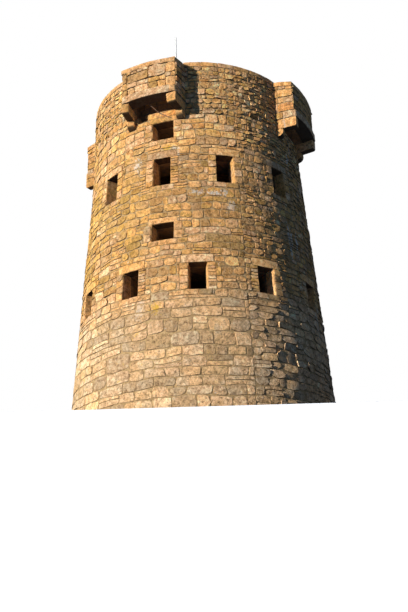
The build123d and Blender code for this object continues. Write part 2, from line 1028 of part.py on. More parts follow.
pieces = {
    "base_wall_a": base_wall_a,
    "base_wall_b": base_wall_b,
    "first_floor_wall_a": first_wall_a,
    "first_floor_wall_b": first_wall_b,
    "lower_loophole_piers": first_piers,
    "middle_wall_a": middle_wall_a,
    "middle_wall_b": middle_wall_b,
    "second_floor_wall_a": second_wall_a,
    "second_floor_wall_b": second_wall_b,
    "upper_loophole_piers": second_piers,
    "upper_wall_a": upper_wall_a,
    "upper_wall_b": upper_wall_b,
    "vault_level_wall_a": vault_wall_a,
    "vault_level_wall_b": vault_wall_b,
    "roof_level_wall_a": roof_wall_a,
    "roof_level_wall_b": roof_wall_b,
    "opening_piers": opening_piers,
    "parapet_a": parapet_a,
    "parapet_b": parapet_b,
    "parapet_coping": parapet_coping,
    "machicolation_sill_walls": sill_walls,
    "loophole_lintels": loophole_lintels,
    "loophole_sills": loophole_sills,
    "loophole_jambs": loophole_jambs,
    "wide_window_lintels": wide_lintels,
    "wide_window_sills": wide_sills,
    "wide_window_jambs": wide_jambs,
    "door_lintel": door_lintel,
    "door_step": door_step,
    "door_jambs": door_jambs,
    "door_leaf": door_leaf,
    "floor_joists": joined([first_joists, second_joists]),
    "floor_boards": joined([first_boards, second_boards]),
    "vault_haunch_a": haunch_a,
    "vault_haunch_b": haunch_b,
    "vault_crown_a": crown_a,
    "vault_crown_b": crown_b,
    "roof_keystone": keystone.part,
    "machicolation_lower_corbels": joined(lower_corbels),
    "machicolation_upper_corbels": joined(upper_corbels),
    "machicolation_lintels": box_lintels,
    "machicolation_corner_blocks": corner_blocks,
    "machicolation_fronts": box_fronts,
    "machicolation_sides": box_sides,
    "machicolation_front_coping": box_front_coping,
    "machicolation_side_coping": box_side_coping,
    "front_slot_bar": slot_bar.part,
    "mast": mast.part,
    "mast_brackets": mast_brackets,
}

os.makedirs("parts", exist_ok=True)
for name, piece in pieces.items():
    piece.label = name
    export_step(piece, f"parts/{name}.step")
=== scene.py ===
import random
from math import asin, atan2, cos, degrees, hypot, pi, radians, sin, sqrt

import bmesh
import bpy
from mathutils import Matrix, Vector, noise


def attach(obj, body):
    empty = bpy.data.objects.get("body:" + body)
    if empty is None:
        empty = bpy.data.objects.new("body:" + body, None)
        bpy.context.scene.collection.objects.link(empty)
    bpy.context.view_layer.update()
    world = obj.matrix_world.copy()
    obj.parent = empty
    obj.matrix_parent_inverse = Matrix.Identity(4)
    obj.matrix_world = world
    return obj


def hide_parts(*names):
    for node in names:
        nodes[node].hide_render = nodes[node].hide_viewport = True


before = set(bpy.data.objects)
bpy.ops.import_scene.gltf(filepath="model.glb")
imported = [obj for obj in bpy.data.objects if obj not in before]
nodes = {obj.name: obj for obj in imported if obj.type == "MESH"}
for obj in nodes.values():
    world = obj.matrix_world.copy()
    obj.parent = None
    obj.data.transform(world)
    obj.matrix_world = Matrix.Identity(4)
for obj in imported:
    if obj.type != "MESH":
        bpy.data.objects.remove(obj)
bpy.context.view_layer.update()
noise.seed_set(5)  # left alone, its vectors differ from run to run

# The tower's own sizes, in metres and degrees. Azimuth grows from -Y towards +X.
tower = {
    "groundRadius": 4.384, "batterHeight": 9.702, "batterRadius": 3.759,
    "rimRadius": 3.750, "rimHeight": 12.2, "copingFoot": 12.03,
    "parapetFoot": 10.36,
}
loopholes = {
    "width": 0.59, "jamb": 0.26, "lintelEnd": 0.205, "lintel": 0.27, "sillEnd": 0.12, "sill": 0.19,
    "lowerSill": 3.706, "lowerHead": 4.604, "upperSill": 7.486, "upperHead": 8.512,
    "lower": [-62.0, -31.4, -0.8, 29.8, 60.4, 90.1, 119.8, 179.2, 208.9, 238.6, 268.3],
    "upper": [-47.7, -17.0, 13.7, 44.4, 74.2, 103.9, 133.7, 163.5, 193.2, 223.0, 252.8, 282.5],
}
wideWindows = {
    "width": 0.745, "jamb": 0.26, "lintelEnd": 0.1, "lintel": 0.19, "sill": 0.19,
    "places": [(-16.3, 5.484, 6.080), (-16.8, 9.257, 9.933)],
}
door = {"azimuth": 159.2, "width": 0.95, "jamb": 0.225, "lintelEnd": 0.26, "lintel": 0.27,
        "step": 0.2, "sill": 2.6, "head": 4.604}
boxes = {
    "azimuths": [-20.8, 63.4, 159.2, 242.8], "half": 0.971, "halfAtWall": 1.026,
    "lintelRadius": 4.455, "wallRadius": 4.36, "lintelTop": 10.869,
    "wallTop": 11.811, "corbelTop": 10.594, "upperFoot": 10.228, "lowerFoot": 9.947,
    "corbelWidth": 0.256, "copingTop": 11.976,
}
lostStone = {"azimuth": -27.8, "width": 0.35, "bottom": 10.125}
flatRadius = 4.0  # the wall is laid flat at this radius
around = 2 * pi * flatRadius


def faceRadius(z):
    if z < tower["batterHeight"]:
        share = z / tower["batterHeight"]
        return tower["groundRadius"] + (tower["batterRadius"] - tower["groundRadius"]) * share
    share = (z - tower["batterHeight"]) / (tower["rimHeight"] - tower["batterHeight"])
    return tower["batterRadius"] + (tower["rimRadius"] - tower["batterRadius"]) * share


# Shader maths

class Wire:
    # An output socket that can be used in plain arithmetic.
    def __init__(self, paint, socket):
        self.paint = paint
        self.socket = socket

    def __add__(self, other):
        return self.paint.maths("ADD", self, other)

    def __radd__(self, other):
        return self.paint.maths("ADD", other, self)

    def __sub__(self, other):
        return self.paint.maths("SUBTRACT", self, other)

    def __rsub__(self, other):
        return self.paint.maths("SUBTRACT", other, self)

    def __mul__(self, other):
        return self.paint.maths("MULTIPLY", self, other)

    def __rmul__(self, other):
        return self.paint.maths("MULTIPLY", other, self)


class Paint:
    # One material and the nodes that colour it.
    def __init__(self, name):
        self.material = bpy.data.materials.new(name)
        self.material.use_nodes = True
        self.tree = self.material.node_tree
        self.tree.nodes.clear()
        self.shader = self.tree.nodes.new("ShaderNodeBsdfPrincipled")
        surface = self.tree.nodes.new("ShaderNodeOutputMaterial")
        self.tree.links.new(self.shader.outputs[0], surface.inputs["Surface"])
        self.place = self.make("ShaderNodeTexCoord", out="Object")

    def make(self, kind, settings=None, links=None, out=0):
        node = self.tree.nodes.new(kind)
        for key, value in (settings or {}).items():
            if key == "stops":
                ramp = node.color_ramp
                while len(ramp.elements) < len(value):
                    ramp.elements.new(1.0)
                for element, (position, colour) in zip(ramp.elements, value):
                    element.position = position
                    element.color = (*colour, 1.0) if len(colour) == 3 else colour
            else:
                setattr(node, key, value)
        for key, value in (links or {}).items():
            if isinstance(value, Wire):
                self.tree.links.new(value.socket, node.inputs[key])
            elif value is not None:
                node.inputs[key].default_value = value
        return Wire(self, node.outputs[out])

    def maths(self, operation, one, other=None, clamp=False):
        return self.make("ShaderNodeMath", {"operation": operation, "use_clamp": clamp},
                         {0: one, 1: other})

    def mix(self, factor, one, other, blend="MIX"):
        one = one if isinstance(one, Wire) else (*one, 1.0)
        other = other if isinstance(other, Wire) else (*other, 1.0)
        return self.make(
            "ShaderNodeMix", {"data_type": "RGBA", "blend_type": blend, "clamp_result": True},
            {0: factor, 6: one, 7: other}, out=2)

    def noise(self, scale, detail=3.0, rough=0.55, vector=None, warp=0.0):
        return self.make(
            "ShaderNodeTexNoise", {"noise_dimensions": "3D"},
            {"Vector": vector or self.place, "Scale": scale, "Detail": detail,
             "Roughness": rough, "Distortion": warp}, out=0)

    def above(self, value, low, high):
        # 0 below low, 1 above high, smooth between.
        return self.make(
            "ShaderNodeMapRange", {"interpolation_type": "SMOOTHSTEP"},
            {"Value": value, "From Min": low, "From Max": high, "To Min": 0.0, "To Max": 1.0})

    def within(self, value, low, high, soft):
        return self.above(value, low - soft, low + soft) * (
            1 - self.above(value, high - soft, high + soft))

    def stretched(self, x, y, z):
        return self.make("ShaderNodeVectorMath", {"operation": "MULTIPLY"},
                         {0: self.place, 1: (x, y, z)})

    def outputs(self, wire):
        # Every output of the node behind a wire.
        return [Wire(self, socket) for socket in wire.socket.node.outputs]

    def axes(self):
        return self.outputs(self.make("ShaderNodeSeparateXYZ", links={0: self.place}))

    def upward(self):
        # 1 on a floor, 0 on an upright wall and -1 on an underside.
        facing = self.make("ShaderNodeNewGeometry", out="Normal")
        return self.outputs(self.make("ShaderNodeSeparateXYZ", links={0: facing}))[2]

    def ramp(self, value, stops):
        return self.make("ShaderNodeValToRGB", {"stops": stops}, {0: value})

    def grey(self, value):
        return self.make("ShaderNodeCombineColor", None, {0: value, 1: value, 2: value})

    def finish(self, colour, rough, height=None, depth=0.01, metal=0.0, specular=0.25):
        sockets = self.shader.inputs
        self.tree.links.new(colour.socket, sockets["Base Color"])
        if isinstance(rough, Wire):
            self.tree.links.new(rough.socket, sockets["Roughness"])
        else:
            sockets["Roughness"].default_value = rough
        sockets["Metallic"].default_value = metal
        sockets["Specular IOR Level"].default_value = specular
        if height is not None:
            bump = self.make("ShaderNodeBump", None,
                             {"Strength": 1.0, "Distance": depth, "Height": height})
            self.tree.links.new(bump.socket, sockets["Normal"])
        return self.material


# Materials

graniteHues = [
    (0.00, (0.52, 0.230, 0.060)),
    (0.18, (0.74, 0.350, 0.095)),
    (0.36, (0.74, 0.430, 0.110)),
    (0.52, (0.86, 0.455, 0.140)),
    (0.68, (0.88, 0.495, 0.175)),
    (0.84, (0.90, 0.515, 0.235)),
    (1.00, (0.94, 0.660, 0.350)),
]
# the grain of the stone, from its dark spots to its pale ones
grainStops = [(0.34, (0.30, 0.24, 0.19)), (0.44, (0.76, 0.72, 0.68)),
              (0.53, (1.10, 1.11, 1.12)), (0.64, (1.36, 1.42, 1.54))]
graniteLook = {
    "stainColour": (0.46, 0.200, 0.050), "stainShare": 0.45,
    "paleColour": (0.82, 0.620, 0.370), "paleShare": 0.34,
    # partly weathering, partly painted warm sunlight on the lit side
    "goldWeatherAndSunColour": (0.80, 0.470, 0.090), "goldWeatherAndSunShare": 0.6,
    "micaColour": (0.16, 0.10, 0.05), "micaShare": 0.25,
    # painted shade in small chips and hollows of the stone
    "chipShadowColour": (0.20, 0.105, 0.040), "chipShadowShare": 0.58,
    "streakColour": (0.60, 0.58, 0.50), "streakShare": 0.5,
    # painted shade on faces that look down
    "paintedShadeBelowColour": (0.040, 0.025, 0.014), "paintedShadeBelowShare": 0.92,
    "yellowLichen": (0.78, 0.480, 0.020),
    "whiteLichen": (0.86, 0.820, 0.690), "whiteShare": 0.65,
    "greyLichen": (0.40, 0.330, 0.190),
    # from, to and softness, in degrees round the tower
    "litSide": (-85, -24, 14), "shadedSide": (44, 100, 6),
    # heights in metres
    "paleFoot": (2.6, 4.4), "goldWeatherAndSunBand": (4.8, 8.3, 0.8), "brighterTop": (8.5, 9.3),
    "darkest": 0.60, "lightest": 1.26,
}
# lichen, lime and stain seen on the wall: azimuth, height, width, rise, colour, strength
wallMarks = [
    (-29.9, 8.45, 0.20, 0.42, "whiteLichen", 0.75),
    (-14.4, 8.84, 0.22, 0.20, "yellowLichen", 0.85),
    (-10.3, 8.70, 0.20, 0.26, "whiteLichen", 0.65),
    (-0.3, 7.10, 0.34, 0.13, "whiteLichen", 0.65),
    (8.0, 7.06, 0.28, 0.12, "whiteLichen", 0.80),
    (12.4, 7.12, 0.16, 0.15, "whiteLichen", 0.75),
    (15.2, 6.60, 0.22, 0.20, "whiteLichen", 0.60),
    (-19.0, 3.20, 0.22, 0.26, "yellowLichen", 0.85),
    (-26.0, 3.25, 0.20, 0.45, "whiteLichen", 0.45),
    (-17.5, 7.02, 0.62, 0.30, "stainColour", 0.55),
    (46.6, 6.10, 0.07, 0.45, "whiteLichen", 1.0),
    (48.6, 5.95, 0.05, 0.40, "whiteLichen", 1.0),
    (52.5, 5.94, 0.07, 0.55, "whiteLichen", 1.0),
    (47.3, 5.50, 0.06, 0.35, "whiteLichen", 1.0),
    (54.7, 9.20, 0.10, 0.40, "whiteLichen", 0.8),
]


def granite(name, toned=True, shift=0.0, pale=0.0, green=0.0, marks=(), relief=0.080, lift=0.18):
    # Weathered golden granite. A toned piece carries one colour attribute per stone.
    look = graniteLook
    paint = Paint(name)
    x, y, z = paint.axes()
    if toned:
        tone = paint.make("ShaderNodeAttribute", {"attribute_name": "tone"}, out="Color")
        hue, light, patch = paint.outputs(paint.make("ShaderNodeSeparateColor", links={0: tone}))
    else:
        hue = paint.noise(1.7, 2.0)
        light = paint.noise(2.9, 2.0)
        patch = paint.noise(4.3, 2.0)
    blotch = paint.noise(4.5, 5.0, 0.65)
    pick = paint.maths("ADD", hue + shift, (blotch - 0.5) * 0.9, clamp=True)
    colour = paint.ramp(pick, graniteHues)
    # height up the wall and side of the tower
    turn = paint.maths("ARCTAN2", x, 0 - y)
    litSide = paint.within(turn, *map(radians, look["litSide"]))
    low = 1 - paint.above(z, *look["paleFoot"])
    stain = paint.above(paint.noise(2.4, 5.0, 0.65), 0.50, 0.68) * look["stainShare"]
    colour = paint.mix(stain * (1 - low * 0.6), colour, look["stainColour"])
    bleach = paint.above(paint.noise(1.9, 4.0, 0.6, warp=0.4), 0.44, 0.66)
    bleach = bleach * (look["paleShare"] + pale) * (0.55 + low * 0.45) + low * 0.44
    colour = paint.mix(bleach, colour, look["paleColour"])
    # gold patches on the side that faces the key lamp: partly weathering of the stone, partly painted
    # warm sunlight
    golden = litSide * paint.within(z, *look["goldWeatherAndSunBand"]) * paint.above(
        paint.noise(1.1, 4.0, 0.6), 0.36, 0.60)
    colour = paint.mix(golden * look["goldWeatherAndSunShare"], colour, look["goldWeatherAndSunColour"])
    # grain of the stone: feldspar, quartz and dark mica
    mottle = paint.noise(9.0, 5.0, 0.75)
    grain = paint.noise(70.0, 3.0, 0.7)
    dark = paint.above(paint.noise(120.0, 2.0, 0.6), 0.60, 0.72)
    colour = paint.mix(1.0, colour, paint.ramp(mottle * 0.75 + grain * 0.25, grainStops),
                       "MULTIPLY")
    colour = paint.mix(dark * look["micaShare"], colour, look["micaColour"])
    # dark specks: painted shade in small chips and hollows of the stone
    chipShadows = paint.above(paint.noise(17.0, 3.0, 0.65), 0.57, 0.64)
    colour = paint.mix(chipShadows * look["chipShadowShare"], colour, look["chipShadowColour"])
    shade = paint.make("ShaderNodeMapRange", None,
                       {"Value": light, "From Min": 0.0, "From Max": 1.0,
                        "To Min": look["darkest"], "To Max": look["lightest"]})
    shade = shade * (1.0 + paint.above(z, *look["brighterTop"]) * lift)
    colour = paint.mix(1.0, colour, paint.grey(shade), "MULTIPLY")
    # lichens and the streaks that rain leaves on the shaded side
    yellow = paint.above(paint.noise(2.7, 6.0, 0.62, warp=0.6), 0.62, 0.68)
    yellow = yellow * paint.above(paint.noise(9.0, 3.0), 0.42, 0.60)
    colour = paint.mix(yellow * (0.25 + litSide * 0.45), colour, look["yellowLichen"])
    white = paint.above(paint.noise(7.5, 5.0, 0.65), 0.64, 0.70) * paint.above(patch, 0.35, 0.8)
    colour = paint.mix(white * look["whiteShare"], colour, look["whiteLichen"])
    grey = paint.above(paint.noise(3.6, 5.0, 0.7), 0.58 - green, 0.70)
    colour = paint.mix(grey * (0.28 + green), colour, look["greyLichen"])
    shaded = paint.within(turn, *map(radians, look["shadedSide"]))
    streak = paint.above(paint.noise(1.0, 4.0, 0.6, paint.stretched(6.0, 6.0, 0.42)), 0.60, 0.70)
    colour = paint.mix(streak * shaded * look["streakShare"], colour, look["streakColour"])
    ragged = paint.noise(11.0, 4.0, 0.7)
    broken = paint.above(paint.noise(26.0, 4.0, 0.7), 0.36, 0.56)
    for azimuth, height, wide, rise, kind, strength in marks:
        along = (turn - radians(azimuth)) * (flatRadius / wide)
        upward = (z - height) * (1 / rise)
        near = paint.maths("SQRT", along * along + upward * upward) + (ragged - 0.5) * 3.2
        patchy = (1 - paint.above(near, 0.35, 0.95)) * broken
        colour = paint.mix(patchy * strength, colour, look[kind])
    # undersides are painted dark: painted shade on every face that looks down
    under = 1 - paint.above(paint.upward(), -0.75, -0.25)
    colour = paint.mix(under * look["paintedShadeBelowShare"], colour, look["paintedShadeBelowColour"])
    height = paint.noise(9.0, 4.0, 0.6) * 0.35 + paint.noise(22.0, 5.0, 0.7) * 0.57 + grain * 0.08
    rough = 0.80 + paint.noise(12.0, 2.0) * 0.18
    paint.shader.inputs["Diffuse Roughness"].default_value = 1.0
    return paint.finish(colour, rough, height, relief)


rubbleLook = {
    "one": (0.42, 0.26, 0.12, 1), "other": (0.29, 0.18, 0.085, 1), "mortar": (0.20, 0.15, 0.10, 1),
    "squash": 0.7, "every": 3, "joint": 0.018, "soft": 0.4, "length": 0.42, "row": 0.21,
}
pavingLook = {
    "one": (0.60, 0.42, 0.24, 1), "other": (0.44, 0.31, 0.18, 1), "mortar": (0.24, 0.17, 0.10, 1),
    "squash": 0.8, "every": 2, "joint": 0.012, "soft": 0.3, "length": 0.74, "row": 0.48,
}
mortarStops = [(0.28, (0.24, 0.140, 0.058)), (0.50, (0.45, 0.285, 0.120)),
               (0.74, (0.62, 0.42, 0.21))]


def coursed(paint, vector, look):
    # Colour and joints of stones laid in rows.
    return paint.outputs(paint.make(
        "ShaderNodeTexBrick",
        {"offset": 0.5, "squash": look["squash"], "squash_frequency": look["every"]},
        {"Vector": vector, "Color1": look["one"], "Color2": look["other"],
         "Mortar": look["mortar"], "Scale": 1.0, "Mortar Size": look["joint"],
         "Mortar Smooth": look["soft"], "Bias": 0.0, "Brick Width": look["length"],
         "Row Height": look["row"]}))


def masonryCore(name):
    # Lime and sand mortar outside, coursed rubble inside and paving on what faces up.
    paint = Paint(name)
    x, y, z = paint.axes()
    radius = paint.maths("SQRT", x * x + y * y)
    turn = paint.maths("ARCTAN2", x, 0 - y)
    along = turn * 3.1 + radius  # about the inner radius
    wobble = paint.noise(3.0, 2.0) * 0.12
    vector = paint.make("ShaderNodeCombineXYZ", None, {0: along + wobble, 1: z + wobble, 2: 0.0})
    rubble, joint = coursed(paint, vector, rubbleLook)
    mortar = paint.ramp(paint.noise(14.0, 5.0, 0.65), mortarStops)
    slope = (tower["batterRadius"] - tower["groundRadius"]) / tower["batterHeight"]
    face = paint.maths("MAXIMUM", tower["groundRadius"] + z * slope, tower["rimRadius"])
    outside = paint.above(radius - face, -0.09, -0.07)
    paving, pavingJoint = coursed(paint, paint.place, pavingLook)
    level = paint.above(paint.upward(), 0.55, 0.75)
    rubble = paint.mix(level, rubble, paving)
    joint = joint * (1 - level) + pavingJoint * level
    stone = paint.mix(0.8, rubble, paint.ramp(
        paint.noise(9.0, 5.0, 0.65), [(0.3, (0.6, 0.6, 0.6)), (0.7, (1.25, 1.2, 1.15))]),
        "MULTIPLY")
    colour = paint.mix(outside, stone, mortar)
    height = paint.noise(30.0, 5.0, 0.65) * 0.5 + (1 - joint) * 0.6
    return paint.finish(colour, 0.93, height, 0.03)


def timber(name, light, dark, axis):
    # Sawn timber with its grain along one axis.
    paint = Paint(name)
    scale = [9.0, 9.0, 9.0]
    scale["xyz".index(axis)] = 0.7
    grain = paint.noise(2.2, 6.0, 0.7, paint.stretched(*scale), 0.5)
    fibre = paint.noise(9.0, 3.0, 0.6, paint.stretched(*scale))
    colour = paint.ramp(grain, [(0.30, dark), (0.72, light)])
    colour = paint.mix(paint.above(paint.noise(1.4, 4.0), 0.5, 0.7) * 0.4, colour, dark)
    return paint.finish(colour, 0.70 + fibre * 0.2, grain * 0.6 + fibre * 0.4, 0.004)


def iron(name):
    paint = Paint(name)
    rust = paint.above(paint.noise(16.0, 5.0, 0.65), 0.42, 0.62)
    colour = paint.mix(rust, (0.16, 0.130, 0.100), (0.30, 0.150, 0.070))
    return paint.finish(colour, 0.62 + rust * 0.3, paint.noise(60.0, 3.0), 0.002, 0.35)


def polePaint(name):
    paint = Paint(name)
    worn = paint.above(paint.noise(11.0, 5.0, 0.7), 0.60, 0.70)
    colour = paint.mix(worn, (0.84, 0.82, 0.72), (0.52, 0.46, 0.34))
    return paint.finish(colour, 0.45 + worn * 0.35, paint.noise(30.0, 3.0), 0.001, 0.0, 0.45)


wallStone = granite("wall granite", marks=wallMarks)
rubbleStone = granite("rubble granite", marks=wallMarks, relief=0.120)
boxStone = granite("box granite", shift=0.02, lift=0.0)
cut = {"relief": 0.045, "lift": 0.0}  # dressed stone is smoother than the wall's
slabStone = granite("lintel granite", shift=0.08, pale=0.05, green=0.02, **cut)
dressedStone = granite("dressed granite", shift=0.12, pale=0.30, green=0.05, **cut)
corbelStone = granite("corbel granite", pale=-0.15, green=0.06, **cut)
copingStone = granite("coping granite", shift=0.10, pale=0.20, green=0.05, **cut)
slotLintelStone = granite("slot lintel granite", shift=0.25, pale=0.55, green=0.10, **cut)
vaultStone = masonryCore("vault granite")
coreStone = masonryCore("mortar and core")
joistWood = timber("joist oak", (0.30, 0.215, 0.140), (0.135, 0.088, 0.055), "y")
boardWood = timber("floor boards", (0.36, 0.265, 0.175), (0.17, 0.115, 0.07), "x")
doorWood = timber("door oak", (0.27, 0.205, 0.145), (0.12, 0.085, 0.06), "z")
rustedIron = iron("rusted iron")
mastPaint = polePaint("mast paint")
print("materials ready")


# Laying stones

def show(name, data):
    thing = bpy.data.objects.new(name, data)
    bpy.context.scene.collection.objects.link(thing)
    return thing


def keep(bm, name, material, slotName, smooth=True, replaced=()):
    mesh = bpy.data.meshes.new(name)
    bm.to_mesh(mesh)
    bm.free()
    for polygon in mesh.polygons:
        polygon.use_smooth = smooth
    if smooth:
        mesh.set_sharp_from_angle(angle=radians(26))
    mesh.materials.append(material)
    piece = show(name, mesh)
    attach(piece, "root")
    if replaced:
        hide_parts(*replaced)
    print(name, sum(len(p.vertices) - 2 for p in mesh.polygons), "triangles")
    return piece


def cutAway(cells, holes):
    # What is left of the cells when the holes are taken out. A cell is left, right, bottom, top.
    for hole in holes:
        left = []
        for cell in cells:
            for shift in (-around, 0.0, around):
                h0, h1, h2, h3 = hole[0] + shift, hole[1] + shift, hole[2], hole[3]
                if cell[0] < h1 and cell[1] > h0 and cell[2] < h3 and cell[3] > h2:
                    if h2 > cell[2]:
                        left.append((cell[0], cell[1], cell[2], h2))
                    if h3 < cell[3]:
                        left.append((cell[0], cell[1], h3, cell[3]))
                    low, high = max(cell[2], h2), min(cell[3], h3)
                    if h0 > cell[0]:
                        left.append((cell[0], h0, low, high))
                    if h1 < cell[1]:
                        left.append((h1, cell[1], low, high))
                    break
            else:
                left.append(cell)
        cells = left
    return [c for c in cells
            if c[1] - c[0] > stoneLook["shortest"] and c[3] - c[2] > stoneLook["lowest"]]


def courseHeights(rng, bottom, top, low, high):
    levels = [bottom]
    while levels[-1] < top - 1e-6:
        step = rng.uniform(low, high)
        left = top - levels[-1]
        if left < high * 1.15:
            step = left
        elif left < low + high:
            step = left / 2
        levels.append(levels[-1] + step)
    return levels


def courseCells(rng, start, end, bottom, top, short, long):
    cells = []
    edge = start
    while edge < end - 1e-6:
        length = rng.uniform(short, long)
        left = end - edge
        if left < long * 1.1:
            length = left
        elif left < short + long:
            length = left / 2
        cells.append((edge, edge + length, bottom, top))
        edge += length
    return cells


def panelCells(rng, start, end, bottom, top, style):
    # A band of wall in panels, each with courses of its own.
    cells = []
    edge = start
    while edge < end - 1e-6:
        width = min(rng.uniform(*style["panel"]), end - edge)
        if end - edge - width < style["panel"][0] * 0.5:
            width = end - edge
        levels = courseHeights(rng, bottom, top, *style["height"])
        for low, high in zip(levels, levels[1:]):
            stretch = rng.uniform(0.8, 1.25)
            cells += courseCells(rng, edge, edge + width, low, high,
                                 style["length"][0] * stretch, style["length"][1] * stretch)
        edge += width
    split = []
    for cell in cells:
        if rng.random() < style["split"] and cell[3] - cell[2] > 0.14:
            middle = cell[2] + (cell[3] - cell[2]) * rng.uniform(0.35, 0.65)
            split += [(cell[0], cell[1], cell[2], middle), (cell[0], cell[1], middle, cell[3])]
        else:
            split.append(cell)
    return split


wander = {"amount": 0.065, "across": 1.7, "up": 2.1, "fade": 0.25, "reach": 0.3,
          "ground": 0.3, "rim": 0.25}
stoneLook = {
    "shortest": 0.055, "lowest": 0.04,  # cells under this are left to the mortar
    "narrowFace": 0.03, "lowFace": 0.025, "singleRow": 0.12, "ripple": 1.7,
    "chip": 2.4, "chipFrom": 1.25, "chipRun": 0.75, "leastProud": 0.006, "sunk": 0.012,
}


def shake(place, near):
    # Courses and joints wander a little, but not beside an opening, the ground or the rim.
    fade = min(1.0, place.y / wander["ground"],
               max(0.0, tower["copingFoot"] - place.y) / wander["rim"])
    for left, right, bottom, top in near:
        gap = max(left - place.x, place.x - right, bottom - place.y, place.y - top, 0.0)
        fade = min(fade, gap / wander["fade"])
    if fade <= 0:
        return Vector((0, 0, 0))
    turn = place.x / flatRadius
    spot = Vector((flatRadius * sin(turn) * wander["across"],
                   flatRadius * cos(turn) * wander["across"],
                   place.y * wander["up"]))
    shift = noise.noise_vector(spot) * wander["amount"] * fade
    return Vector((shift.x, shift.y, 0))


def layStones(name, cells, wrap, style, seed, material, slotName, toneOf=None):
    # Rough blocks with rounded arrises, laid flat and then wrapped on to the wall.
    rng = random.Random(seed)
    bm = bmesh.new()
    tone = bm.verts.layers.float_color.new("tone")
    proud = bm.verts.layers.float.new("proud")
    for left, right, bottom, top in cells:
        reach = wander["reach"]
        near = [(h[0] + turn, h[1] + turn, h[2], h[3]) for h in holes
                for turn in (-around, 0.0, around)
                if h[0] + turn < right + reach and h[1] + turn > left - reach
                and h[2] < top + reach and h[3] > bottom - reach] if style.get("wander") else []
        joint = rng.uniform(*style["joint"])
        width, height = right - left - joint, top - bottom - joint
        if width < stoneLook["narrowFace"] or height < stoneLook["lowFace"]:
            continue
        middle = Vector(((left + right) / 2, (bottom + top) / 2, 0))
        along = max(2, min(style["most"], round(width / style["step"])))
        rows = 1 if height < stoneLook["singleRow"] else 2
        up = max(rows, min(style["most"], round(height / style["step"])))
        laid = bmesh.ops.create_grid(
            bm, x_segments=along, y_segments=up, size=0.5,
            matrix=Matrix.Translation(middle) @ Matrix.Diagonal((width, height, 1, 1)))["verts"]
        hue = toneOf(rng, middle) if toneOf else rng.triangular(0.0, 1.0, 0.52)
        colour = (min(max(hue, 0), 1), rng.triangular(0, 1, 0.5), rng.random(), 1.0)
        thick = rng.uniform(*style["thick"])
        tiltX, tiltY = rng.gauss(0, style["tilt"]), rng.gauss(0, style["tilt"])
        seedPlace = Vector((rng.uniform(0, 90), rng.uniform(0, 90), rng.uniform(0, 90)))
        small = min(width, height)
        chips = [rng.uniform(0.0, stoneLook["chip"]) * style["corner"] for quarter in range(4)]
        for vert in laid:
            a = (vert.co.x - middle.x) * 2 / width
            b = (vert.co.y - middle.y) * 2 / height
            ripple = Vector((a * stoneLook["ripple"], b * stoneLook["ripple"], 0))
            wave = noise.noise_vector(seedPlace + ripple)
            corner = max(0.0, abs(a) + abs(b) - stoneLook["chipFrom"]) / stoneLook["chipRun"]
            pull = corner * chips[(a > 0) + 2 * (b > 0)] * small
            vert.co.x += wave.x * style["ragged"] * small - pull * a
            vert.co.y += wave.y * style["ragged"] * small - pull * b
            dome = (1 - a * a) * (1 - b * b) * style["dome"] * small
            tilt = a * tiltX * width / 2 + b * tiltY * height / 2
            vert[proud] = max(stoneLook["leastProud"],
                              thick + dome + tilt + wave.z * style["rough"])
            if style.get("wander"):
                vert.co += shake(vert.co, near)
            vert.co.z = -stoneLook["sunk"]
            vert[tone] = colour
    made = bmesh.ops.extrude_face_region(bm, geom=bm.faces[:])["geom"]
    front = {f for f in made if isinstance(f, bmesh.types.BMFace)}
    for vert in made:
        if isinstance(vert, bmesh.types.BMVert):
            vert.co.z = vert[proud]
    rim = [e for e in made if isinstance(e, bmesh.types.BMEdge)
           and sum(f in front for f in e.link_faces) == 1]
    bmesh.ops.bevel(bm, geom=rim, offset=style["arris"], offset_type="OFFSET", segments=1,
                    profile=0.5, affect="EDGES", clamp_overlap=True, material=-1)
    for vert in bm.verts:
        vert.co = wrap(vert.co)
    bmesh.ops.recalc_face_normals(bm, faces=bm.faces[:])
    return keep(bm, name, material, slotName)


def wrapWall(place):
    turn = place.x / flatRadius
    radius = faceRadius(place.y) + place.z
    return Vector((radius * sin(turn), -radius * cos(turn), place.y))


def unroll(azimuth, half, z):
    # Left and right edge of something straight, half its width either side of an azimuth.
    spread = asin(half / faceRadius(z))
    centre = radians(azimuth)
    return (centre - spread) * flatRadius, (centre + spread) * flatRadius


def hole(azimuth, half, bottom, top):
    return (*unroll(azimuth, half, (bottom + top) / 2), bottom, top)


def lintelHole(o):
    return hole(o["azimuth"], o["half"] + o["lintelEnd"], o["head"], o["head"] + o["lintel"])


def sillHole(o):
    return hole(o["azimuth"], o["half"] + o["sillEnd"], o["sill"] - o["sillHeight"], o["sill"])


def opening(look, azimuth, sill, head, sillHeight, sillEnd):
    return {"azimuth": azimuth, "half": look["width"] / 2, "jamb": look["jamb"], "sill": sill,
            "head": head, "lintel": look["lintel"], "lintelEnd": look["lintelEnd"],
            "sillHeight": sillHeight, "sillEnd": sillEnd}


# openings whose jambs are of thin stones: azimuth and the side, -1 left and 1 right
thinJambs = [(-31.4, 1), (-0.8, 1), (29.8, -1), (-17.0, 1), (90.1, 1), (119.8, -1),
             (133.7, 1), (193.2, -1), (208.9, 1), (252.8, -1), (252.8, 1), (282.5, 1)]
jambLook = {"thin": (0.08, 0.13), "thick": (0.18, 0.30), "length": (0.14, 0.27), "play": 0.004}
openings = [opening(loopholes, azimuth, loopholes[ring + "Sill"], loopholes[ring + "Head"],
                    loopholes["sill"], loopholes["sillEnd"])
            for ring in ("lower", "upper") for azimuth in loopholes[ring]]
openings += [opening(wideWindows, azimuth, sill, head, wideWindows["sill"],
                     wideWindows["lintelEnd"]) for azimuth, sill, head in wideWindows["places"]]
openings.append(opening(door, door["azimuth"], door["sill"], door["head"], door["step"],
                        door["jamb"]))

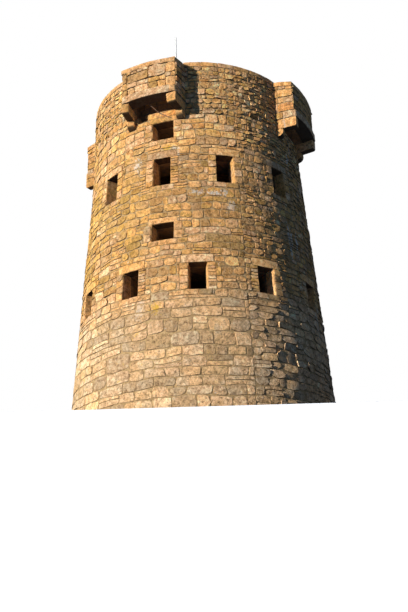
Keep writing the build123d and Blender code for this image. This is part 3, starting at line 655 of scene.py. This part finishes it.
holes = []
jambCells = []
jambRng = random.Random(41)
for o in openings:
    outer = hole(o["azimuth"], o["half"] + o["jamb"], o["sill"], o["head"])
    holes += [outer, lintelHole(o), sillHole(o)]
    inner = hole(o["azimuth"], o["half"] + jambLook["play"], o["sill"], o["head"])
    for side, left, right in ((-1, outer[0], inner[0]), (1, inner[1], outer[1])):
        rows = jambLook["thin" if (o["azimuth"], side) in thinJambs else "thick"]
        levels = courseHeights(jambRng, o["sill"], o["head"], *rows)
        for low, high in zip(levels, levels[1:]):
            jambCells += courseCells(jambRng, left, right, low, high, *jambLook["length"])
boxHalf = boxes["halfAtWall"] + 0.002
inside = boxes["halfAtWall"] - boxes["corbelWidth"]
for azimuth in boxes["azimuths"]:
    left, right = unroll(azimuth, boxHalf, 11.0)
    innerLeft, innerRight = unroll(azimuth, inside, 11.0)
    holes.append((left, innerLeft, boxes["lowerFoot"], boxes["copingTop"] + 0.004))
    holes.append((innerRight, right, boxes["lowerFoot"], boxes["copingTop"] + 0.004))
    holes.append((innerLeft, innerRight, tower["parapetFoot"], tower["rimHeight"]))
holes.append(hole(lostStone["azimuth"], lostStone["width"] / 2, lostStone["bottom"],
                  tower["parapetFoot"]))
lip = {"ends": (-25.1, -17.6, -8.98), "bottom": 10.123}
lipEnds = [radians(azimuth) * flatRadius for azimuth in lip["ends"]]
lipCells = [(left, right, lip["bottom"], tower["parapetFoot"])
            for left, right in zip(lipEnds, lipEnds[1:])]
holes += lipCells

lowStyle = {
    "joint": (0.012, 0.034), "step": 0.15, "most": 5, "thick": (0.012, 0.024), "tilt": 0.016,
    "ragged": 0.050, "corner": 0.06, "dome": 0.004, "rough": 0.010, "arris": 0.005,
    "wander": True,
    "panel": (2.2, 4.6), "height": (0.27, 0.46), "length": (0.36, 0.88), "split": 0.13,
}
middleStyle = {
    "joint": (0.010, 0.030), "step": 0.15, "most": 4, "thick": (0.010, 0.028), "tilt": 0.036,
    "ragged": 0.060, "corner": 0.07, "dome": 0.006, "rough": 0.012, "arris": 0.005,
    "wander": True,
    "panel": (1.4, 3.0), "height": (0.19, 0.36), "length": (0.24, 0.62), "split": 0.10,
}
rubbleStyle = {
    "joint": (0.008, 0.028), "step": 0.11, "most": 3, "thick": (0.010, 0.036), "tilt": 0.10,
    "ragged": 0.10, "corner": 0.11, "dome": 0.02, "rough": 0.016, "arris": 0.005,
    "wander": True,
    "panel": (0.8, 1.8), "height": (0.11, 0.27), "length": (0.12, 0.40), "split": 0.14,
}
squaredStyle = dict(middleStyle, height=(0.22, 0.34), length=(0.32, 0.60), split=0.06)
mixedStyle = dict(middleStyle, panel=(1.0, 2.2), height=(0.15, 0.27), length=(0.18, 0.42))
roughStyle = dict(rubbleStyle, thick=(0.010, 0.030), tilt=0.060, ragged=0.08, most=4, step=0.13)
smallStyle = dict(rubbleStyle, panel=(0.6, 1.3), height=(0.10, 0.22), length=(0.11, 0.32))
start = radians(180) * flatRadius - around + 0.4


def wallTone(rng, place):
    # Paler blocks low down, warmer and more varied ones higher up.
    if place.y < 3.9:
        return rng.triangular(0.35, 1.0, 0.78)
    if place.y > 9.0:
        return rng.triangular(0.1, 1.0, 0.66)
    return rng.triangular(0.12, 1.0, 0.58)


wallRng = random.Random(7)
roughCells, squaredCells, rubbleCells = [], [], []


def wallBand(levels, style, patches):
    # Panels all round, with other styles between some azimuths up to some height.
    band = []
    for low, high in zip(levels, levels[1:]):
        offset = wallRng.uniform(0, 3)
        row = panelCells(wallRng, start + offset, start + offset + around, low, high, style)
        for first, last, below, other, store in patches:
            if high < below:
                ends = [radians(azimuth) * flatRadius for azimuth in (first, last)]
                row = cutAway(row, [(*ends, low, high)])
                store += cutAway(panelCells(wallRng, *ends, low, high, other), holes)
        band += row
    return cutAway(band, holes)


# bottom, top, and the least and most that a row of panels is high
bands = {
    "low": (0.0, 3.7, 0.85, 1.30), "middle": (3.7, 8.9, 0.75, 1.15),
    "upper": (8.9, 10.1, 0.5, 0.8), "parapet": (10.1, tower["copingFoot"] - 0.003, 0.5, 0.8),
}
sides = {"rough": (20, 84), "squared": (-104, 20), "small": (20, 75)}  # azimuths


def layWall(name, cells, style, seed, material=wallStone):
    layStones(name, cells, wrapWall, style, seed, material, "wall_granite", wallTone)


def layDressed(name, cells, style, seed, material, toneOf):
    layStones(name, cells, wrapWall, style, seed, material, "dressed_granite", toneOf)


layWall("low_wall_stones",
        wallBand(courseHeights(wallRng, *bands["low"]), lowStyle,
                 [(*sides["rough"], 4.0, middleStyle, roughCells)]), lowStyle, 11)
layWall("middle_wall_stones",
        wallBand(courseHeights(wallRng, *bands["middle"]), middleStyle,
                 [(*sides["rough"], 9.0, mixedStyle, roughCells)]), middleStyle, 12)
levels = courseHeights(wallRng, *bands["upper"])
levels += courseHeights(wallRng, *bands["parapet"])[1:]
rubbleCells += wallBand(levels, rubbleStyle,
                        [(*sides["squared"], 10.2, squaredStyle, squaredCells),
                         (*sides["small"], 13.0, smallStyle, rubbleCells)])
layWall("squared_wall_stones", squaredCells, middleStyle, 18)
layWall("rough_wall_stones", roughCells, roughStyle, 19, rubbleStone)
layWall("upper_wall_stones", rubbleCells, rubbleStyle, 13, rubbleStone)

jambStyle = {
    "joint": (0.008, 0.016), "step": 0.12, "most": 2, "thick": (0.012, 0.028), "tilt": 0.04,
    "ragged": 0.06, "corner": 0.06, "dome": 0.02, "rough": 0.008, "arris": 0.006,
}
layDressed("jamb_stones", jambCells, jambStyle, 14, dressedStone,
           lambda rng, place: rng.triangular(0.1, 0.95, 0.5))

slabStyle = {
    "joint": (0.008, 0.012), "step": 0.13, "most": 9, "thick": (0.014, 0.022), "tilt": 0.010,
    "ragged": 0.022, "corner": 0.03, "dome": 0.01, "rough": 0.006, "arris": 0.008,
}
lipStyle = dict(slabStyle, thick=(0.004, 0.006), rough=0.002, dome=0.0, tilt=0.0, ragged=0.05)
layDressed("lintel_faces", [lintelHole(o) for o in openings], slabStyle, 15, slabStone,
           lambda rng, place: 0.3 if place.y > 9.5 else rng.uniform(0.45, 0.85))
layStones("slot_lip_stones", lipCells, wrapWall, lipStyle, 17, wallStone, "wall_granite",
          lambda rng, place: 0.22)
sillCells = []
for o in openings:
    sillCells += courseCells(jambRng, *sillHole(o), 0.3, 0.6)
layDressed("sill_faces", sillCells, slabStyle, 16, dressedStone,
           lambda rng, place: rng.uniform(0.25, 0.75))
print("wall laid")


# Machicolation stones

def boxAxes(azimuth):
    turn = radians(azimuth)
    return Vector((cos(turn), sin(turn), 0)), Vector((sin(turn), -cos(turn), 0))


def boxSideX(out):
    # Half width of the box at a distance out from the axis.
    near = sqrt(tower["rimRadius"] ** 2 - boxes["halfAtWall"] ** 2)
    far = sqrt(boxes["lintelRadius"] ** 2 - boxes["half"] ** 2)
    share = (out - near) / (far - near)
    return boxes["halfAtWall"] + (boxes["half"] - boxes["halfAtWall"]) * share


def wrapFront(azimuth):
    across, out = boxAxes(azimuth)

    def wrap(place):
        radius = boxes["wallRadius"] + place.z
        depth = sqrt(radius ** 2 - place.x ** 2)
        return across * place.x + out * depth + Vector((0, 0, place.y))
    return wrap


boxRise = {"height": 0.165, "from": 4.36, "to": 3.70}


def riseAt(reach):
    # The tops of the box's sides rise towards the parapet.
    share = (boxRise["from"] - reach) / (boxRise["from"] - boxRise["to"])
    return boxRise["height"] * min(max(share, 0.0), 1.0)


def wrapSide(azimuth, side):
    across, out = boxAxes(azimuth)

    def wrap(place):
        # place.x runs from the wall outwards on the right side and inwards on the left
        reach = place.x if side > 0 else -place.x
        sideways = boxSideX(reach) + place.z
        share = (place.y - boxes["lintelTop"]) / (boxes["wallTop"] - boxes["lintelTop"])
        height = place.y + riseAt(reach) * max(share, 0.0)
        return across * side * sideways + out * reach + Vector((0, 0, height))
    return wrap


boxStyle = {
    "joint": (0.010, 0.020), "step": 0.12, "most": 6, "thick": (0.016, 0.030), "tilt": 0.025,
    "ragged": 0.050, "corner": 0.05, "dome": 0.008, "rough": 0.010, "arris": 0.006,
}
boxFrontStyle = dict(boxStyle, thick=(0.036, 0.048))
# the courses of the front box, from the top: bottom, top and where its stones begin
frontCourses = [
    (11.69, 11.811, [-0.79, -0.62, -0.40, -0.20, 0.03]),
    (11.34, 11.69, [-0.79, 0.03]),
    (11.33, 11.811, [0.03, 0.64]),
    (11.42, 11.811, [0.64, 0.97]),
    (11.42, 11.811, [-0.97, -0.79]),
    (11.24, 11.42, [0.64, 0.82, 0.97]),
    (11.16, 11.34, [-0.79, -0.40, 0.03]),
    (11.15, 11.33, [0.03, 0.42, 0.64]),
    (11.14, 11.42, [-0.97, -0.79]),
    (10.869, 11.24, [0.64, 0.97]),
    (10.869, 11.16, [-0.76, -0.48, 0.03]),
    (10.869, 11.15, [0.03, 0.36, 0.64]),
    (10.869, 11.14, [-0.97, -0.76]),
]
# the right box's left side, from the wall outwards: bottom, top, where stones begin, colours
sideCourses = [
    (11.69, 11.811, [3.607, 3.80, 4.04, 4.30], [0.7, 0.9, 0.6]),
    (11.40, 11.69, [3.607, 3.74, 4.30], [0.5, 0.45]),
    (11.19, 11.40, [3.607, 3.74, 3.98, 4.30], [0.2, 0.7, 0.9]),
    (10.869, 11.19, [3.607, 3.73, 4.30], [0.8, 0.08]),
    (10.594, 10.869, [3.607, 3.90, 4.27], [0.25, 0.95]),
]
paleStone = {"at": 0.335, "tone": 0.86}  # one stone of the front box
frontLevels = [boxes["lintelTop"], 11.10, 11.33, 11.55, boxes["wallTop"]]
frontEdge = boxSideX(sqrt(boxes["wallRadius"] ** 2 - 0.95))
wallOut = sqrt(faceRadius(11.0) ** 2 - boxes["halfAtWall"] ** 2)
frontOut = sqrt((boxes["wallRadius"] + 0.035) ** 2 - boxSideX(4.24) ** 2)
for number, azimuth in enumerate(boxes["azimuths"]):
    name = ("front", "right", "rear", "left")[number]
    boxRng = random.Random(60 + number)
    if number == 0:
        cells = [(max(left, -frontEdge), min(right, frontEdge), low, high)
                 for low, high, ends in frontCourses for left, right in zip(ends, ends[1:])]
    else:
        cells = []
        for low, high in zip(frontLevels, frontLevels[1:]):
            cells += courseCells(boxRng, -frontEdge, frontEdge, low, high, 0.24, 0.62)

    def frontTone(rng, place, front=number == 0):
        if front and abs(place.x - paleStone["at"]) < 0.01:
            return paleStone["tone"]
        return rng.triangular(0.15, 0.95, 0.5)
    layStones(name + "_box_stones", cells, wrapFront(azimuth), boxFrontStyle, 70 + number,
              boxStone, "box_granite", frontTone)
    for side in (-1, 1):
        sideRng = random.Random(80 + number * 2 + side)
        toned = []  # cells whose colour is given
        if number == 1 and side < 0:
            for low, high, ends, tones in sideCourses:
                for near, far, tone in zip(ends, ends[1:], tones):
                    toned.append(((-min(far, frontOut), -near, low, high), tone))
            cells = [cell for cell, tone in toned]
        else:
            levels = courseHeights(sideRng, boxes["corbelTop"], boxes["wallTop"], 0.17, 0.27)
            ends = (wallOut, frontOut) if side > 0 else (-frontOut, -wallOut)
            cells = []
            for low, high in zip(levels, levels[1:]):
                cells += courseCells(sideRng, *ends, low, high, 0.22, 0.40)

        def sideTone(rng, place, toned=tuple(toned)):
            for (left, right, bottom, top), tone in toned:
                if left < place.x < right and bottom < place.y < top:
                    return tone
            return rng.triangular(0.1, 1.0, 0.6)
        layStones(name + ("_left" if side < 0 else "_right") + "_side_stones", cells,
                  wrapSide(azimuth, side), boxStyle, 90 + number * 2 + side,
                  boxStone, "box_granite", sideTone)

# wedges that carry the side coping up to the parapet
beds = {"outer": 4.34, "inner": 3.69, "play": 0.004, "lift": 0.01, "sink": 0.02}
bm = bmesh.new()
for azimuth in boxes["azimuths"]:
    across, out = boxAxes(azimuth)
    for side in (-1, 1):
        for vert in bmesh.ops.create_cube(bm, size=1.0)["verts"]:
            reach = beds["outer"] if vert.co.y > 0 else beds["inner"]
            inset = beds["play"] if vert.co.x > 0 else boxes["corbelWidth"] - beds["play"]
            rise = riseAt(reach) + beds["lift"] if vert.co.z > 0 else -beds["sink"]
            vert.co = (across * side * (boxSideX(reach) - inset) + out * reach
                       + Vector((0, 0, boxes["wallTop"] + rise)))
bmesh.ops.recalc_face_normals(bm, faces=bm.faces[:])
keep(bm, "side_coping_beds", coreStone, "box_granite", False)
print("machicolations laid")


# Dressed stones, worn from the solids

wearLook = {"merge": 0.0002, "flat": 0.6, "sharp": 25, "cut": 0.0004,
            "coarse": (3.1, 0.6), "fine": (8.7, 0.4)}


def worn(name, nodeNames, material, slotName, width, wave, slices=(), turns=0.0,
         tones=(0.3, 0.8), reshape=None):
    # A copy of the solids with rounded arrises and an uneven surface, which stands for them.
    rng = random.Random(name)
    bm = bmesh.new()
    for nodeName in nodeNames:
        bm.from_mesh(nodes[nodeName].data)
    bmesh.ops.remove_doubles(bm, verts=bm.verts[:], dist=wearLook["merge"])
    bmesh.ops.dissolve_limit(bm, angle_limit=radians(wearLook["flat"]), verts=bm.verts[:],
                             edges=bm.edges[:])
    sharp = [e for e in bm.edges if len(e.link_faces) == 2
             and e.calc_face_angle(0) > radians(wearLook["sharp"])]
    bmesh.ops.bevel(bm, geom=sharp, offset=width, offset_type="OFFSET", segments=2,
                    profile=0.5, affect="EDGES", clamp_overlap=True, material=-1)
    if turns:
        for step in range(int(360 / turns)):
            angle = radians(step * turns)
            # a half plane through the axis: cut only what lies on its own side
            side = Vector((sin(angle), -cos(angle), 0))
            faces = [f for f in bm.faces if f.calc_center_median().dot(side) > 0]
            edges = dict.fromkeys(e for f in faces for e in f.edges)
            verts = dict.fromkeys(v for f in faces for v in f.verts)
            bmesh.ops.bisect_plane(bm, geom=list(verts) + list(edges) + faces,
                                   dist=wearLook["cut"], plane_co=(0, 0, 0),
                                   plane_no=(cos(angle), sin(angle), 0))
    for z in slices:
        bmesh.ops.bisect_plane(bm, geom=bm.verts[:] + bm.edges[:] + bm.faces[:],
                               dist=wearLook["cut"], plane_co=(0, 0, z), plane_no=(0, 0, 1))
    bmesh.ops.recalc_face_normals(bm, faces=bm.faces[:])
    if reshape:
        for vert in bm.verts:
            vert.co = reshape(vert.co)
    tone = bm.verts.layers.float_color.new("tone")
    seen = set()
    islands = []
    bm.verts.ensure_lookup_table()
    for vert in bm.verts:
        if vert in seen:
            continue
        island, queue = [], [vert]
        seen.add(vert)
        while queue:
            current = queue.pop()
            island.append(current)
            for e in current.link_edges:
                other = e.other_vert(current)
                if other not in seen:
                    seen.add(other)
                    queue.append(other)
        islands.append(island)
    # one colour a stone, in the same order every run
    islands.sort(key=lambda island: round(sum(v.co.x + v.co.y * 0.713 + v.co.z * 0.37
                                              for v in island) / len(island), 2))
    for island in islands:
        colour = (rng.uniform(*tones), rng.uniform(0.35, 0.70), rng.uniform(0, 0.7), 1.0)
        for v in island:
            v[tone] = colour
    bm.normal_update()
    moves = []
    coarse, fine = wearLook["coarse"], wearLook["fine"]
    for vert in bm.verts:
        shift = noise.noise(vert.co * coarse[0]) * coarse[1] + noise.noise(vert.co * fine[0]) * fine[1]
        moves.append(vert.normal * shift * wave)
    for vert, move in zip(bm.verts, moves):
        vert.co += move
    return keep(bm, name, material, slotName, True, nodeNames)


worn("coping", ["parapet_coping"], copingStone, "coping_granite", 0.016, 0.012,
     slices=(12.09, 12.15), turns=2.5, tones=(0.35, 0.75))


copingSplit = {"sideways": 0.74, "height": 11.9}  # where the sides begin, and the top of the front


def raiseCoping(place):
    # Lift the coping towards the parapet: its ends whole, the rest only at the top.
    turn = degrees(atan2(place.x, -place.y))
    azimuth = min(boxes["azimuths"], key=lambda a: abs((turn - a + 180) % 360 - 180))
    across, out = boxAxes(azimuth)
    sideways, reach = abs(place.dot(across)), place.dot(out)
    if sideways > copingSplit["sideways"] or place.z > copingSplit["height"]:
        distance = reach if sideways > copingSplit["sideways"] else hypot(place.x, place.y)
        return place + Vector((0, 0, riseAt(distance)))
    return place.copy()


worn("box_coping", ["machicolation_front_coping", "machicolation_side_coping"], copingStone,
     "coping_granite", 0.016, 0.012, slices=(11.87, 11.93), turns=2.0, tones=(0.4, 0.7),
     reshape=raiseCoping)
worn("box_lintels", ["machicolation_lintels"], slotLintelStone, "dressed_granite", 0.018, 0.012,
     slices=(10.68, 10.78), turns=2.0, tones=(0.6, 0.8))


bulge = {"from": 3.9, "run": 0.35, "inner": 0.70, "outer": 0.10, "near": 0.4, "far": 1.3}


def swell(place):
    # The front box's right corbel bulges towards the slot at its outer end.
    across, out = boxAxes(boxes["azimuths"][0])
    sideways, reach = place.dot(across), place.dot(out)
    if reach < bulge["from"] or not bulge["near"] < sideways < bulge["far"]:
        return place.copy()
    middle = boxes["half"] - boxes["corbelWidth"] / 2
    share = min(1.0, (reach - bulge["from"]) / bulge["run"])
    share *= min(1.0, 0.5 + (place.z - boxes["upperFoot"]) / 0.6)
    return place + across * (sideways - middle) * share * (
        bulge["inner"] if sideways < middle else bulge["outer"])


worn("corner_blocks", ["machicolation_corner_blocks"], dressedStone, "dressed_granite", 0.030,
     0.014, slices=(10.68, 10.78), turns=2.0, tones=(0.5, 0.9))
worn("upper_corbels", ["machicolation_upper_corbels"], corbelStone, "dressed_granite", 0.022,
     0.014, slices=(10.33, 10.45), turns=1.5, tones=(0.45, 0.75), reshape=swell)
worn("lower_corbels", ["machicolation_lower_corbels"], corbelStone, "dressed_granite", 0.020,
     0.014, slices=(10.05, 10.15), turns=1.5, tones=(0.35, 0.65))
print("dressed stones worn")


# Finishes of the solids that show as they are

insideDressed = granite("dressed granite inside", toned=False, shift=0.05)
# the first word that a node's name holds decides
finishes = [
    ("wall", coreStone), ("pier", coreStone), ("parapet", coreStone),
    ("machicolation_fronts", coreStone), ("machicolation_sides", coreStone),
    ("lintel", insideDressed), ("sill", insideDressed), ("jamb", insideDressed),
    ("door_step", insideDressed), ("vault", vaultStone), ("keystone", vaultStone),
    ("joists", joistWood), ("boards", boardWood), ("door_leaf", doorWood),
    ("bar", rustedIron), ("brackets", rustedIron), ("mast", mastPaint),
    ("machicolation", insideDressed),
]
for nodeName, node in nodes.items():
    chosen = next(material for word, material in finishes if word in nodeName)
    if not node.material_slots:
        node.data.materials.append(chosen)
    for slotOfNode in node.material_slots:
        slotOfNode.material = chosen
print("finishes set")


# Stage, light and camera

stageLook = {"floor": 0.62, "dim": 0.22, "glow": 0.42, "front": -4.62, "size": 60.0, "drop": 30.0,
             "below": 0.002}
bm = bmesh.new()
bmesh.ops.create_cube(bm, size=1.0, matrix=Matrix.Translation(
    (0, stageLook["front"] + stageLook["size"] / 2, -stageLook["drop"] / 2 - stageLook["below"]))
    @ Matrix.Diagonal((stageLook["size"] * 2, stageLook["size"], stageLook["drop"], 1)))
floorMesh = bpy.data.meshes.new("floor")
bm.to_mesh(floorMesh)
bm.free()
floorPaint = Paint("floor")
floorPaint.shader.inputs["Roughness"].default_value = 0.95
floorPaint.shader.inputs["Emission Strength"].default_value = 1.0
cameraRay = floorPaint.make("ShaderNodeLightPath", out="Is Camera Ray")
glow = cameraRay * stageLook["glow"]
grey = stageLook["dim"] + cameraRay * (stageLook["floor"] - stageLook["dim"])
for socketName, level in (("Emission Color", glow), ("Base Color", grey)):
    floorPaint.tree.links.new(floorPaint.grey(level).socket,
                              floorPaint.shader.inputs[socketName])
floorMesh.materials.append(floorPaint.material)
floor = show("floor", floorMesh)

keyLook = {"azimuth": -50.5, "height": 7.5, "strength": 5.0, "softness": 1.4,
           "colour": (1.0, 1.0, 1.0)}
backLook = {"azimuth": 178.0, "height": 32.0, "strength": 1.3, "softness": 12.0,
            "colour": (1.0, 0.93, 0.84)}
fillLook = {"strength": 0.10, "colour": (0.60, 1.06, 2.05)}


def sunLamp(name, look):
    lamp = bpy.data.lights.new(name, "SUN")
    lamp.energy = look["strength"]
    lamp.angle = radians(look["softness"])
    lamp.color = look["colour"]
    turn, height = radians(look["azimuth"]), radians(look["height"])
    toLamp = Vector((sin(turn) * cos(height), -cos(turn) * cos(height), sin(height)))
    show(name, lamp).rotation_euler = toLamp.to_track_quat("Z", "Y").to_euler()


sunLamp("key", keyLook)
sunLamp("back", backLook)

# the fill lights the tower, and the camera sees white
world = bpy.data.worlds.new("studio")
bpy.context.scene.world = world
world.use_nodes = True
tree = world.node_tree
tree.nodes.clear()
output = tree.nodes.new("ShaderNodeOutputWorld")
choose = tree.nodes.new("ShaderNodeMixShader")
rays = tree.nodes.new("ShaderNodeLightPath")
seen = tree.nodes.new("ShaderNodeMath")
seen.operation = "MAXIMUM"
for index, ray in enumerate(("Is Camera Ray", "Is Transmission Ray")):
    tree.links.new(rays.outputs[ray], seen.inputs[index])
tree.links.new(seen.outputs[0], choose.inputs[0])
whiteLook = {"strength": 1.0, "colour": (1.0, 1.0, 1.0)}
for index, look in enumerate((fillLook, whiteLook), 1):
    background = tree.nodes.new("ShaderNodeBackground")
    background.inputs["Color"].default_value = (*look["colour"], 1.0)
    background.inputs["Strength"].default_value = look["strength"]
    tree.links.new(background.outputs[0], choose.inputs[index])
tree.links.new(choose.outputs[0], output.inputs["Surface"])

# the camera stands below ground level and looks up
cameraLook = {"place": (0.0, -26.533, -5.554), "yaw": -0.0043, "pitch": 0.3709, "roll": 0.0297,
              "focal": 814.01, "imageHeight": 612, "sensor": 24.0}
yaw, pitch, roll = cameraLook["yaw"], cameraLook["pitch"], cameraLook["roll"]
level = Vector((-sin(yaw), cos(yaw), 0))
beside = Vector((cos(yaw), sin(yaw), 0))
forward = level * cos(pitch) + Vector((0, 0, sin(pitch)))
upright = level * -sin(pitch) + Vector((0, 0, cos(pitch)))
right = beside * cos(roll) - upright * sin(roll)
up = beside * sin(roll) + upright * cos(roll)
cameraData = bpy.data.cameras.new("camera")
cameraData.sensor_fit = "VERTICAL"
cameraData.sensor_height = cameraLook["sensor"]
cameraData.lens = cameraLook["focal"] / cameraLook["imageHeight"] * cameraLook["sensor"]
cameraData.clip_end = 500.0
camera = show("camera", cameraData)
matrix = Matrix.Identity(4)
for row in range(3):
    matrix[row][0] = right[row]
    matrix[row][1] = up[row]
    matrix[row][2] = -forward[row]
    matrix[row][3] = cameraLook["place"][row]
camera.matrix_world = matrix
bpy.context.scene.camera = camera
bpy.context.scene.view_settings.view_transform = "Standard"
